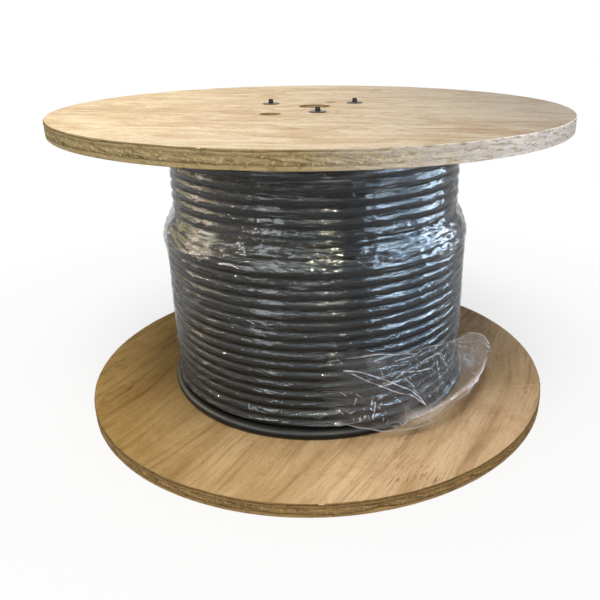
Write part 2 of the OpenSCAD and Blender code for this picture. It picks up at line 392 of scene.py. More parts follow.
def fibre_board():
    """Brown fibre tube, wound in a spiral, with the seam of its outer ply."""
    board = Finish("fibre_board_brown", specular=0.2)
    turn = board.math("ARCTAN2", board.axis("Y"), board.axis("X"))
    rise = board.math("DIVIDE", board.axis("Z"), BOARD_LEAD)
    spiral = board.math("ADD", board.math("DIVIDE", turn, FULL_TURN), rise)
    seam = board.span(board.math("PINGPONG", spiral, 0.5), 0.0, 0.012, 1.0, 0.0)
    pulp = board.noise((90, 90, 160), 4.0)
    body = board.mix(board.span(pulp, 0.3, 0.7), BOARD_DARK, BOARD_LIGHT)
    board.feed("Base Color", board.mix(board.span(seam, 0, 1, 0, 0.6), body, BOARD_SEAM))
    board.feed("Roughness", board.span(pulp, 0.3, 0.7, 0.75, 0.9))
    board.feed("Normal", board.bump(pulp, 0.2 * MM))
    return board.material


# Pieces

# The pieces that the gloss-only cards shine on; the raw plywood and the bolts take none of their light
GLOSSY_PIECES = bpy.data.collections.new("glossy_pieces")
GLOSSY_SLOTS = ("cable_jacket", "clear_film")


def finished(bm, name, materials, slot, replaced, sharp=35.0):
    """A bmesh as a piece of the reel: outward faces, smooth but for its sharp edges, riding on the reel."""
    bmesh.ops.recalc_face_normals(bm, faces=bm.faces)
    for face in bm.faces:
        face.smooth = True
    for edge in bm.edges:
        edge.smooth = len(edge.link_faces) != 2 or edge.calc_face_angle() < math.radians(sharp)
    mesh = bpy.data.meshes.new(name)
    bm.to_mesh(mesh)
    bm.free()
    for material in materials:
        mesh.materials.append(material)
    piece = bpy.data.objects.new(name, mesh)
    bpy.context.scene.collection.objects.link(piece)
    if slot in GLOSSY_SLOTS:
        GLOSSY_PIECES.objects.link(piece)
    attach(piece, "root")
    if replaced:
        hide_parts(*replaced)
    return piece


def chain(bm, points, closed=False):
    """Edges through points of a half section, given as radius and height."""
    verts = [bm.verts.new((r, 0, z)) for r, z in points]
    edges = [bm.edges.new(pair) for pair in zip(verts, verts[1:])]
    if closed:
        edges.append(bm.edges.new((verts[-1], verts[0])))
    return verts, edges


def turned(bm, points, steps, closed=False, centre=(0, 0, 0)):
    """A half section turned once round an upright axis, the reel's own or a hole's."""
    verts, edges = chain(bm, points, closed)
    bmesh.ops.translate(bm, verts=verts, vec=(centre[0], centre[1], 0))
    bmesh.ops.spin(
        bm, geom=verts + edges, cent=centre, axis=(0, 0, 1), angle=FULL_TURN, steps=steps, use_merge=True
    )


# Plywood flanges

RIM_STEPS = 600
RIM_LEVELS = 13
EDGE_EASE = 0.8 * MM
ROUGHNESS_DEPTH = 0.28 * MM
CROSS_PLY_SUNK = 0.25 * MM
PLY_PAIRS = 2.5
CHIP_SPREAD = 0.2
FLAT_FACE_Z = 0.8
SAME_LEVEL = 0.01 * MM
UPPER_RIM_SEED, LOWER_RIM_SEED = 2.3, 9.4

BOLT_R = 56 * MM
BOLT_TURNS = (36.0, 156.0, 276.0)
HOLE_STEPS = 64
NUT_HOLE_R = 4.7 * MM
BOLT_HOLE_R = 3.375 * MM
COUNTERBORE_R, COUNTERBORE_H = 9 * MM, 4.4 * MM

# Walls of the bolt holes in each flange, as radius and height
NUT_WALL = [(NUT_HOLE_R, 0), (NUT_HOLE_R, FLANGE_T)]
BOLT_WALL = [
    (COUNTERBORE_R, 0), (COUNTERBORE_R, COUNTERBORE_H),
    (BOLT_HOLE_R, COUNTERBORE_H), (BOLT_HOLE_R, FLANGE_T),
]

# Chips in the rims: direction, height up the edge, width along it and depth
UPPER_CHIPS = [
    (-52, 0.95, 9 * MM, 1.4 * MM), (-40, 0.9, 14 * MM, 1.2 * MM), (-100, 0.0, 12 * MM, 1.0 * MM),
]
LOWER_CHIPS = [
    (-76, 0.35, 9 * MM, 3.2 * MM), (-44, 0.5, 8 * MM, 2.4 * MM), (-112, 0.8, 6 * MM, 1.0 * MM),
]


def rim_relief(co, low_z, seed, chips):
    """How far the sawn rim stands in or out at a point: rough end grain, sunk cross plies and chips."""
    turn = math.radians(azimuth_of(co))
    level = (co.z - low_z) / FLANGE_T
    rough = ripple(co, 240, 500, seed)
    coarse = ripple(co, 45, 160, seed)
    cross_ply = 0.5 - 0.5 * math.cos(FULL_TURN * PLY_PAIRS * level)
    depth = ROUGHNESS_DEPTH * (rough + coarse) * (0.5 + cross_ply) - CROSS_PLY_SUNK * cross_ply
    for degrees, height, width, reach in chips:
        along = math.remainder(turn - math.radians(degrees), FULL_TURN) * FLANGE_R
        depth -= reach * hump(along, width) * hump(level - height, CHIP_SPREAD)
    return depth


def flange_board(name, node, low_z, finishes, seed, chips, holes, slot):
    """A sawn disc of plywood: its rough rim and its holes' walls are turned, then both faces are filled."""
    high_z = low_z + FLANGE_T
    rim_h = FLANGE_T - 2 * EDGE_EASE
    rim = [(FLANGE_R, low_z + EDGE_EASE + rim_h * i / (RIM_LEVELS - 1)) for i in range(RIM_LEVELS)]
    bm = bmesh.new()
    for centre, wall in holes:
        turned(bm, [(radius, low_z + height) for radius, height in wall], HOLE_STEPS, centre=centre)
    turned(bm, [(FLANGE_R - EDGE_EASE, low_z), *rim, (FLANGE_R - EDGE_EASE, high_z)], RIM_STEPS)
    for vert in bm.verts:
        radius = vert.co.xy.length
        if radius > FLANGE_R - 2 * EDGE_EASE:
            grown = (radius + rim_relief(vert.co, low_z, seed, chips)) / radius
            vert.co.x *= grown
            vert.co.y *= grown
    for level in (low_z, high_z):
        border = [
            edge for edge in bm.edges
            if edge.is_boundary and all(abs(vert.co.z - level) < SAME_LEVEL for vert in edge.verts)
        ]
        bmesh.ops.triangle_fill(bm, use_beauty=True, edges=border)
    board = finished(bm, name, [finish.material for finish in finishes], slot, [node])
    for polygon in board.data.polygons:
        flat = abs(polygon.normal.z) > FLAT_FACE_Z
        wall = 1 if polygon.center.xy.length > FLANGE_R - 5 * EDGE_EASE else 2
        polygon.material_index = 0 if flat else wall
        polygon.use_smooth = not flat


def flange_holes(bolt_wall):
    """Centre and wall of each hole in one flange: arbor, drive-pin and small hole, then the bolt holes."""
    holes = []
    for name in ("arbor", "drive_pin_hole", "small_pin_hole"):
        radius = MOUNTS[name]["dims"]["r_mm"] * MM
        holes.append((Vector(MOUNTS[name]["pos_m"]), [(radius, 0), (radius, FLANGE_T)]))
    return holes + [(polar(BOLT_R, degrees, 0), bolt_wall) for degrees in BOLT_TURNS]


upper_finishes = (
    plywood_face(
        "plywood_upper_face", UPPER_PAINTED_LIGHT_TONES, UPPER_WARM, UPPER_STREAK, UPPER_GRAIN_TURN, UPPER_FIGURE,
        seed=3.1,
    ),
    plywood_edge(
        "plywood_upper_edge", UPPER_LOW, UPPER_EDGE_PALE, UPPER_EDGE_BROWN, UPPER_TORN_FROM, seed=1.7
    ),
    plywood_edge("plywood_upper_bore_painted_light", UPPER_LOW, BORE_PALE_AND_LIT, BORE_BROWN_AND_LIT, NOWHERE_TORN, seed=3.3),
)
lower_finishes = (
    plywood_face(
        "plywood_lower_face", LOWER_PAINTED_SHADE_TONES, LOWER_WARM, LOWER_STREAK, LOWER_GRAIN_TURN, LOWER_FIGURE,
        seed=8.7,
    ),
    plywood_edge(
        "plywood_lower_edge", LOWER_LOW, LOWER_EDGE_PALE, LOWER_EDGE_BROWN, LOWER_TORN_FROM, seed=5.2
    ),
    plywood_edge("plywood_lower_bore_painted_light", LOWER_LOW, BORE_PALE_AND_LIT, BORE_BROWN_AND_LIT, NOWHERE_TORN, seed=6.1),
)
flange_board(
    "upper_flange_board", "upper_flange", UPPER_LOW, upper_finishes, UPPER_RIM_SEED, UPPER_CHIPS,
    flange_holes(NUT_WALL), "plywood_upper",
)
flange_board(
    "lower_flange_board", "lower_flange", LOWER_LOW, lower_finishes, LOWER_RIM_SEED, LOWER_CHIPS,
    flange_holes(BOLT_WALL), "plywood_lower",
)

# Cable winding

TURN_STEPS = 84
CABLE_SIDES = 14
CORE_STEPS = 120
CORE_CLEAR = 0.3 * MM
CORE_SUNK = 1.5 * MM
WELD = 0.01 * MM
CROSSING = 0.14
CROSSING_AT = 90.0
CLOSED_SHARE = 0.9995
WANDER = 0.55 * MM
WANDERS_A_TURN = 2.6
BARE_BULGE = 7 * MM
BULGED_TURNS = (0.3, 2.0)
FULL_SEED, OUTER_SEED = 1.0, 4.0


def turn_offset(turn, share, seed):
    """How far the cable strays up and out from an even winding: with its neighbours, and by itself."""
    along = (turn + share) * WANDERS_A_TURN
    shared = noise.noise(polar(1.5, 360 * share, 0.3 * (turn + share) + seed))
    alone = noise.noise(Vector((along, seed, 0.3))) + 0.8 * noise.noise(Vector((along * 2.7, seed, 5.1)))
    return WANDER * (1.8 * shared + alone), WANDER * noise.noise(Vector((along * 1.7, seed, 9.7)))


def settle_turn(vert, radius, turns, seed, bulge):
    """Moves a point of an even helix to where the wound cable lies; the first turns are bulged out."""
    share = (azimuth_of(vert.co) - CROSSING_AT) % 360 / 360
    if share > CLOSED_SHARE:
        share = 0.0
    turn = round((vert.co.z - FIRST_Z) / PITCH - share)
    if turn >= turns:
        turn, share = turns - 1, 1.0
    climb = smooth(1 - CROSSING, 1, share) if turn < turns - 1 else 0.0
    rise, lift = turn_offset(turn, share, seed)
    inner = smooth(0, 1, turn + share) * smooth(0, 1, turns - turn - share)
    vert.co.z += PITCH * (climb - share) + rise * inner
    grown = 1 + (lift + bulge * (1 - smooth(*BULGED_TURNS, turn + share))) / radius
    vert.co.x *= grown
    vert.co.y *= grown


def wind_layer(radius, turns, seed, bulge=0.0):
    """One layer of cable as a mesh: flat turns that climb a pitch where they cross over at the back."""
    start = Matrix.Rotation(math.radians(CROSSING_AT), 4, "Z")
    upright = Matrix.Rotation(math.pi / 2, 4, "X")
    bm = bmesh.new()
    for i in range(turns):
        place = start @ Matrix.Translation((radius, 0, FIRST_Z + i * PITCH)) @ upright
        bmesh.ops.create_circle(bm, segments=CABLE_SIDES, radius=CABLE_R, matrix=place)
    bmesh.ops.spin(
        bm, geom=bm.verts[:] + bm.edges[:], cent=(0, 0, 0), axis=(0, 0, 1), angle=FULL_TURN,
        steps=TURN_STEPS, dvec=(0, 0, PITCH / TURN_STEPS),
    )
    bmesh.ops.remove_doubles(bm, verts=bm.verts, dist=WELD)
    for vert in bm.verts:
        settle_turn(vert, radius, turns, seed, bulge)
    ends = [edge for edge in bm.edges if edge.is_boundary]
    bmesh.ops.holes_fill(bm, edges=ends, sides=CABLE_SIDES)
    layer = bpy.data.meshes.new("cable_layer")
    bm.to_mesh(layer)
    bm.free()
    return layer


def cable_turns():
    """The winding as it shows: the last full layer, the part-wound layer over it and a core behind."""
    bm = bmesh.new()
    inner, middle, outer = DRUM_R + CORE_CLEAR, FULL_R - CABLE_R, OUTER_R - CABLE_R
    low, top = WINDING_LOW + CORE_SUNK, WINDING_TOP - CORE_SUNK
    core = [(inner, low), (outer, low), (outer, STEP_Z), (middle, STEP_Z), (middle, top), (inner, top)]
    turned(bm, core, CORE_STEPS, closed=True)
    bm.from_mesh(wind_layer(middle, FULL_TURNS, FULL_SEED))
    bm.from_mesh(wind_layer(outer, OUTER_TURNS, OUTER_SEED, BARE_BULGE))
    finished(bm, "cable_turns", [cable_jacket()], "cable_jacket", ["cable_winding"], sharp=50.0)


cable_turns()

# Tight wrap of stretch film

FILM_STEPS = 400
FILM_LEVELS = 240
FILM_SEAM_AT = 90.0
FILM_WELD = 0.02 * MM
FILM_COVER = 1.0 * MM
HEM_Z = LOWER_TOP + 18 * MM
HEM_SPREAD, HEM_SPREAD_H = 2.5 * MM, 18 * MM
HEM_UNEVEN, HEM_UNEVEN_H = 3.5 * MM, 30 * MM
HEM_WHITE, HEM_WHITE_H = 0.25, 2 * MM
BRIDGE_FROM, BRIDGE_H = 0.3 * CABLE_R, 34 * MM
BULGE_AT, BULGE_WIDTH = 3 * MM, 13 * MM
FLARE, FLARE_H = 4 * MM, 28 * MM
FOLD_AT, FOLD_WIDTH = 11 * MM, 15 * MM
DRAWN_MOST, DRAWN_SLACK = 2.1 * MM, 1.1 * MM
# Veil: a thin haze all over, thicker and lighter on the turns' crests as painted light (painted shade in
# the grooves between them), and thicker in the fold
VEIL_THIN, VEIL_CREST_PAINTED_LIGHT, VEIL_FOLD = 0.34, 0.13, 0.28

# Pulled creases: slope, seed, and how many to the metre across them and along them
FILM_CREASES = ((0.25, 3.0, 120, 15), (-0.2, 8.0, 140, 18), (0.5, 5.5, 90, 22))


def film_radius(degrees, z):
    """Radius of the wrap: over the part-wound layer, then the full ones; slack and flared to the left."""
    right = math.cos(math.radians(degrees))
    share = min(1.0, max(0.0, (z - STEP_Z - BRIDGE_FROM) / (BRIDGE_H - BRIDGE_FROM)))
    bridge = 0.5 * (share + smooth(0, 1, share))
    bulge = (1.5 - right) * MM * hump(z - STEP_Z - BULGE_AT, BULGE_WIDTH)
    flare = FLARE * (1 - 0.6 * right) * smooth(FILM_TOP - FLARE_H, FILM_TOP, z)
    spread = HEM_SPREAD * (1 - smooth(HEM_Z, HEM_Z + HEM_SPREAD_H, z))
    return OUTER_R + (FULL_R - OUTER_R) * bridge + FILM_COVER + bulge + flare + spread


def crease_field(co, slope, seed, across, along, sharp):
    """Ridges that run round the reel, tilted by a slope: 1 on a ridge line, falling fast beside it."""
    tilt = slope * (co.x - 0.6 * co.y)
    at = Vector((co.x * along, co.y * along, (co.z + tilt) * across + seed))
    return max(0.0, 1 - sharp * abs(noise.noise(at)))


def film_creases(co):
    """How sharply the wrap is creased at a point, from short tilted ridges that come and go in patches."""
    ridge = 0.0
    for slope, seed, across, along in FILM_CREASES:
        here = smooth(0.15, 0.5, noise.noise(Vector((co.x * 15 + seed, co.y * 15, co.z * 22))))
        ridge = max(ridge, crease_field(co, slope, seed, across, along, sharp=8.0) * here)
    return ridge


def film_over_turn(degrees, z, depth):
    """How far the film stands off an even winding, drawn over one turn, and how near it is to the crest."""
    outer = z < STEP_Z + 0.5 * PITCH
    share = (degrees - CROSSING_AT) % 360 / 360
    climb = smooth(1 - CROSSING, 1, share)
    turn = round((z - FIRST_Z) / PITCH - climb)
    rise, lift = turn_offset(turn, share, OUTER_SEED if outer else FULL_SEED)
    away = min(abs(z - FIRST_Z - (turn + climb) * PITCH - rise), 0.9 * CABLE_R)
    arc = CABLE_R - math.sqrt(CABLE_R ** 2 - away ** 2)
    dip = math.tanh(arc / depth)
    return lift - depth * dip, 1 - dip


def film_wrinkles(co, slack, fold, ridge):
    """How far wrinkles, folds and creases lift the wrap at a point."""
    wrinkles = (0.2 + 0.7 * slack) * ripple(co, 62, 130) + 0.35 * ripple(co, 140, 170)
    slanted = Vector((co.x, co.y, co.z + 0.4 * co.x))
    folds = 0.8 * ripple(co, 30, 70) + 0.8 * ripple(slanted, 85, 170)
    return (wrinkles + fold * folds + (0.8 + fold) * ridge) * MM


def film_wrap(material):
    """The tight wrap: drawn over every turn, wrinkled, with pulled creases and an uneven hem."""
    bm = bmesh.new()
    bmesh.ops.create_grid(bm, x_segments=FILM_STEPS, y_segments=FILM_LEVELS, size=0.5)
    crease_white_and_glint = bm.verts.layers.float.new("crease_white_and_glint")
    veil_and_painted_crest_light = bm.verts.layers.float.new("veil_and_painted_crest_light")
    for vert in bm.verts:
        degrees = FILM_SEAM_AT + 360 * (vert.co.x + 0.5)
        z = HEM_Z + (FILM_TOP - HEM_Z) * (vert.co.y + 0.5)
        co = polar(film_radius(degrees, z), degrees, z)
        slack = 0.5 + 0.5 * ripple(co, 24, 16)
        fold = hump(z - STEP_Z - FOLD_AT, FOLD_WIDTH)
        ridge = film_creases(co)
        hem = 1 - smooth(HEM_Z, HEM_Z + HEM_UNEVEN_H, z)
        z += HEM_UNEVEN * hem * ripple(co, 16, 0, 7.7)
        over, crest = film_over_turn(degrees, z, DRAWN_MOST - DRAWN_SLACK * slack)
        loosened = 1 - 0.6 * fold
        radius = film_radius(degrees, z) + over * loosened + film_wrinkles(co, slack, fold, ridge)
        vert.co = polar(radius, degrees, z)
        # Fold gathered heavier at the right and lighter at the left: partly gathered film, partly painted
        # light of the brighter right side
        gathered_and_painted_right_light = fold * (0.6 + 0.4 * slack) * (0.85 + 0.35 * math.cos(math.radians(degrees)))
        vert[veil_and_painted_crest_light] = VEIL_THIN + VEIL_CREST_PAINTED_LIGHT * crest * loosened + VEIL_FOLD * gathered_and_painted_right_light
        hem_white = HEM_WHITE * (1 - smooth(HEM_Z, HEM_Z + HEM_WHITE_H, z))
        # Whiteness: along pulled creases partly stress whitening and partly painted glints, and at the
        # rolled hem
        vert[crease_white_and_glint] = (0.3 + 0.3 * fold) * ridge ** 2 + hem_white
    bmesh.ops.remove_doubles(bm, verts=bm.verts, dist=FILM_WELD)
    wrap = finished(bm, "film_wrap", [material], "clear_film", ["stretch_film"], sharp=180.0)


film_wrap(clear_film("film_stretched", WRAP_BODIES_AND_PAINTED_REFLECTION, WRAP_HAZE, WRAP_HAZY, WRAP_GLOSS, WRAP_STROKE_H))

# Loose flap of film at the lower right

TAIL_STEPS, TAIL_LEVELS = 380, 150
TAIL_FROM, TAIL_TO = -87.0, -19.0
TAIL_LENGTH, TAIL_WIDTH = 0.25, 0.09
TAIL_OFF, TAIL_REACH = 1.5 * MM, 38 * MM
TAIL_LOW, TAIL_DROP, TAIL_RISE = 22 * MM, 12 * MM, 10 * MM
TAIL_HIGH, TAIL_SAG, TAIL_PEAK = 99 * MM, 8 * MM, 6 * MM
TAIL_ROUNDING, TAIL_MIDDLE = 0.24, 0.42
TAIL_WAVE, TAIL_RIPPLE, TAIL_FINE = 2.5 * MM, 1.5 * MM, 0.8 * MM
TAIL_EDGE_WAVE = 2.0 * MM
TAIL_HEM = 1.8 * MM
DOUBLED_AT, DOUBLED_WIDTH = 0.19, 0.14
CREASE_WIDTH = 0.55 * MM
RIDGE_WIDTH = 4 * CREASE_WIDTH
CRINKLE_SEED = 11

# Creases in the flap: how white and how high each is, then its points as shares along and up the flap; the
# white is partly stress whitening and partly painted glints
TAIL_CREASES = [
    (1.0, 3.0 * MM, [(0.10, 0.83), (0.18, 0.80), (0.31, 0.68), (0.40, 0.57), (0.44, 0.40)]),
    (0.8, 2.5 * MM, [(0.10, 0.83), (0.22, 0.67), (0.34, 0.55), (0.40, 0.51), (0.44, 0.40)]),
    (0.8, 2.0 * MM, [(0.29, 0.63), (0.34, 0.70), (0.39, 0.77), (0.54, 0.75)]),
    (0.6, 2.0 * MM, [(0.38, 0.75), (0.40, 0.66), (0.43, 0.44)]),
    (0.7, 2.0 * MM, [(0.12, 0.97), (0.31, 0.98), (0.50, 0.96), (0.62, 0.98), (0.90, 0.97)]),
    (0.7, 2.0 * MM, [(0.36, 0.90), (0.48, 0.93), (0.55, 0.99)]),
    (0.6, 2.0 * MM, [(0.42, 0.75), (0.51, 0.83), (0.66, 0.87)]),
    (0.6, 2.0 * MM, [(0.65, 0.88), (0.63, 0.70)]),
    (0.6, 2.5 * MM, [(0.80, 0.96), (0.92, 0.80), (0.93, 0.55), (0.98, 0.40)]),
    (0.5, 2.5 * MM, [(0.93, 0.55), (0.88, 0.30), (0.80, 0.08)]),
    (0.5, 2.0 * MM, [(0.33, 0.05), (0.42, 0.20), (0.52, 0.29), (0.63, 0.26), (0.86, 0.18)]),
    (0.8, 1.5 * MM, [(0.16, 0.44), (0.15, 0.34)]),
    (0.9, 1.5 * MM, [(0.22, 0.39), (0.24, 0.43), (0.23, 0.20)]),
    (0.7, 1.5 * MM, [(0.25, 0.46), (0.28, 0.52)]),
    (0.7, 1.5 * MM, [(0.03, 0.92), (0.08, 0.95), (0.10, 0.90)]),
]

# Short crinkles: how many, and the part of the flap they lie in as least and most shares along and up it;
# their white dashes are painted glints
TAIL_CRINKLES = [
    (16, (0.10, 0.40), (0.10, 0.45)), (14, (0.72, 0.97), (0.10, 0.90)), (10, (0.30, 0.70), (0.50, 0.95)),
]
CRINKLE_H = 1.2 * MM


def short_crinkles():
    """Short straight creases scattered over parts of the flap."""
    draw = random.Random(CRINKLE_SEED)
    for count, along_span, up_span in TAIL_CRINKLES:
        for _ in range(count):
            along, up = draw.uniform(*along_span), draw.uniform(*up_span)
            turn, reach = draw.uniform(0.4, 2.6), draw.uniform(3, 9) * MM
            end = (along + reach * math.cos(turn) / TAIL_LENGTH, up + reach * math.sin(turn) / TAIL_WIDTH)
            yield draw.uniform(0.4, 0.95), CRINKLE_H, [(along, up), end]


def tail_place(along, up):
    """A point of the flap before it is creased, from shares along it and up it; its end is rounded."""
    rounded = TAIL_ROUNDING * ((up - TAIL_MIDDLE) / (1 - TAIL_MIDDLE)) ** 2 * smooth(0.3, 1, along)
    degrees = TAIL_FROM + (TAIL_TO - TAIL_FROM) * along * (1 - rounded)
    top_share = 0.06 + 0.7 * smooth(0.5, 1, along)
    belly = (0.82 + 0.18 * smooth(0, 0.35, up)) * (1 - (1 - top_share) * smooth(0.4, 1, up))
    radius = OUTER_R + FILM_COVER + TAIL_OFF + TAIL_REACH * smooth(-0.05, 0.6, along) * belly
    low = LOWER_TOP + TAIL_LOW - TAIL_DROP * smooth(0, 0.35, along) + TAIL_RISE * smooth(0.4, 0.75, along)
    high = LOWER_TOP + TAIL_HIGH - TAIL_SAG * smooth(0.2, 0.5, along) + TAIL_PEAK * smooth(0.6, 0.9, along)
    return radius, degrees, low + (high - low) * up


def crease_distance(along, up, points):
    """How far a point of the flap lies from one of its creases, along the film."""
    size = Vector((TAIL_LENGTH, TAIL_WIDTH))
    here = Vector((along, up)) * size
    nearest = 1.0
    for start, end in zip(points, points[1:]):
        first = Vector(start) * size
        run = Vector(end) * size - first
        share = min(1.0, max(0.0, (here - first) @ run / run.length_squared))
        nearest = min(nearest, (here - first - share * run).length)
    return nearest


def tail_creased(along, up, creases):
    """How far the creases lift the flap at a point, and how white they make it, partly with painted glints.
    """
    lift = white = 0.0
    for whiteness, height, points in creases:
        away = crease_distance(along, up, points)
        lift += height * hump(away, RIDGE_WIDTH)
        patchy = 0.9 + 0.9 * noise.noise(Vector((along * 45, up * 25, height / MM)))
        white = max(white, whiteness * patchy * hump(away, CREASE_WIDTH))
    return lift, white


def film_tail(material):
    """The loose end of the film, standing off the winding at the lower right."""
    bm = bmesh.new()
    bmesh.ops.create_grid(bm, x_segments=TAIL_STEPS, y_segments=TAIL_LEVELS, size=0.5)
    crease_white_and_glint = bm.verts.layers.float.new("crease_white_and_glint")
    veil_and_painted_crest_light = bm.verts.layers.float.new("veil_and_painted_crest_light")
    creases = TAIL_CREASES + list(short_crinkles())
    for vert in bm.verts:
        along, up = vert.co.x + 0.5, vert.co.y + 0.5
        radius, degrees, z = tail_place(along, up)
        lift, white = tail_creased(along, up, creases)
        radius += lift
        loose = smooth(0.02, 0.3, along)
        at = polar(radius, degrees, z)
        fine = crease_field(at, slope=0.9, seed=2.0, across=44, along=40, sharp=9.0)
        waves = TAIL_WAVE * ripple(at, 24, 30) + TAIL_RIPPLE * ripple(at, 70, 70) + TAIL_FINE * fine
        z += TAIL_EDGE_WAVE * noise.noise(Vector((along * 9, up * 3, 1.1)))
        vert.co = polar(radius + loose * waves, degrees, z)
        border = min((1 - along) * TAIL_LENGTH, up * TAIL_WIDTH)
        hem = hump(border, TAIL_HEM) * smooth(0.0, 0.2, along)
        run = smooth(0.28, 0.5, along) * (1 - smooth(0.85, 1, along))
        doubled = hump(up - DOUBLED_AT, DOUBLED_WIDTH) * run
        vert[veil_and_painted_crest_light] = 0.14 * smooth(0.0, 0.15, along) + 0.6 * doubled + 0.18 * smooth(0.65, 0.9, along)
        # Whiteness: creases and crinkles, partly stress whitening and partly painted glints, and the rolled
        # hem
        vert[crease_white_and_glint] = min(1.0, white + 0.25 * fine ** 2 * loose + 0.7 * hem)
    tail = finished(bm, "film_tail", [material], "clear_film", [], sharp=180.0)


film_tail(clear_film("film_loose", TAIL_BODIES, TAIL_HAZE, TAIL_HAZY, TAIL_GLOSS, TAIL_STROKE_H))

# Tie bolts and tee nuts

BOLT_STEPS, NUT_STEPS = 32, 48
BOLT_SHANK_R = 3.175 * MM
THREAD_PITCH = 1.27 * MM
THREAD_DEPTH = 0.55 * MM
THREAD_LENGTH = 20 * MM
THREAD_RUN_IN = 0.5 * MM
BOLT_WELD = 0.001 * MM
HEAD_R, HEAD_H, HEAD_SUNK = 7.5 * MM, 3.6 * MM, 0.8 * MM
DOME_STEPS = 8
NUT_DISC_R, NUT_DISC_T = 9.5 * MM, 1.5 * MM
NUT_BARREL_R = 4.5 * MM
NUT_BORE_CLEAR = 0.2 * MM


def bolt_place(i):
    """Turn and shift from the reel's axis to one bolt."""
    return Matrix.Rotation(math.radians(BOLT_TURNS[i]), 4, "Z") @ Matrix.Translation((BOLT_R, 0, 0))


def bolt_head(low):
    """Half section of the domed head, from its pole to its rim."""
    dome_r = (HEAD_R ** 2 + HEAD_H ** 2) / (2 * HEAD_H)
    reach = math.asin(HEAD_R / dome_r)
    angles = [reach * k / DOME_STEPS for k in range(DOME_STEPS + 1)]
    return [(dome_r * math.sin(angle), low + dome_r * (1 - math.cos(angle))) for angle in angles]


def bolt_thread(top):
    """Half section of the cut thread and the bolt's flat end."""
    root_r = BOLT_SHANK_R - THREAD_DEPTH
    low = top - THREAD_LENGTH
    turns = int(THREAD_LENGTH / THREAD_PITCH) - 1
    points = []
    for k in range(turns):
        z = low + k * THREAD_PITCH
        crest = [(BOLT_SHANK_R, z + 0.4 * THREAD_PITCH), (BOLT_SHANK_R, z + 0.6 * THREAD_PITCH)]
        points += [(root_r, z), *crest]
    return points + [(root_r, low + turns * THREAD_PITCH), (root_r, top), (0, top)]


def tie_bolt(i, material):
    """A round-headed bolt: domed head, shank and a cut thread at its upper end."""
    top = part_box(f"tie_bolt_{i + 1}")[1].z
    low = LOWER_LOW + HEAD_SUNK
    shank = [(BOLT_SHANK_R, low + HEAD_H), (BOLT_SHANK_R, top - THREAD_LENGTH - THREAD_RUN_IN)]
    bm = bmesh.new()
    turned(bm, [*bolt_head(low), *shank, *bolt_thread(top)], BOLT_STEPS)
    bmesh.ops.remove_doubles(bm, verts=bm.verts, dist=BOLT_WELD)
    bmesh.ops.transform(bm, matrix=bolt_place(i), verts=bm.verts)
    finished(bm, f"tie_bolt_{i + 1}_threaded", [material], "bolt_steel", [f"tie_bolt_{i + 1}"], sharp=40.0)


def tee_nut(i, material):
    """A pressed nut: thin dished disc on the wood, rolled edge, and its barrel below."""
    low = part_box(f"tee_nut_{i + 1}")[0].z
    bore = BOLT_SHANK_R + NUT_BORE_CLEAR
    barrel = [(bore, low), (NUT_BARREL_R, low), (NUT_BARREL_R, UPPER_TOP - 0.02 * MM)]
    rolled_edge = [
        (NUT_DISC_R - 0.3 * MM, UPPER_TOP), (NUT_DISC_R, UPPER_TOP + 0.4 * MM),
        (NUT_DISC_R, UPPER_TOP + 0.8 * MM), (NUT_DISC_R - 0.6 * MM, UPPER_TOP + 1.1 * MM),
    ]
    collar = [
        (6.2 * MM, UPPER_TOP + 1.1 * MM), (5.0 * MM, UPPER_TOP + NUT_DISC_T),
        (bore + 0.3 * MM, UPPER_TOP + NUT_DISC_T), (bore, UPPER_TOP + 1.2 * MM),
    ]
    bm = bmesh.new()
    turned(bm, barrel + rolled_edge + collar, NUT_STEPS, closed=True)
    bmesh.ops.transform(bm, matrix=bolt_place(i), verts=bm.verts)
    finished(bm, f"tee_nut_{i + 1}_pressed", [material], "nut_steel", [f"tee_nut_{i + 1}"], sharp=30.0)


bolt_zinc = dull_zinc("bolt_zinc", BOLT_ZINC)
nut_zinc = dull_zinc("nut_zinc", NUT_ZINC)
for bolt in range(len(BOLT_TURNS)):
    tie_bolt(bolt, bolt_zinc)
    tee_nut(bolt, nut_zinc)

# Drum

drum_mesh = frame["nodes"]["drum"].data
drum_mesh.materials.clear()
drum_mesh.materials.append(fibre_board())

# Floor, light and camera

FLOOR_SIZE = 6.0
FLOOR_GREY = 0.88
SHADOW_NEAR, SHADOW_FAR = 0.3, 0.75
SHADOW_LEAST_WHITE = 0.75
SOFT_LIGHT, SOFT_STRENGTH = (0.95, 0.97, 1.0, 1.0), 0.25
WHITE = (1, 1, 1, 1)
MIRROR_RAYS = ("Is Glossy Ray", "Is Transmission Ray")

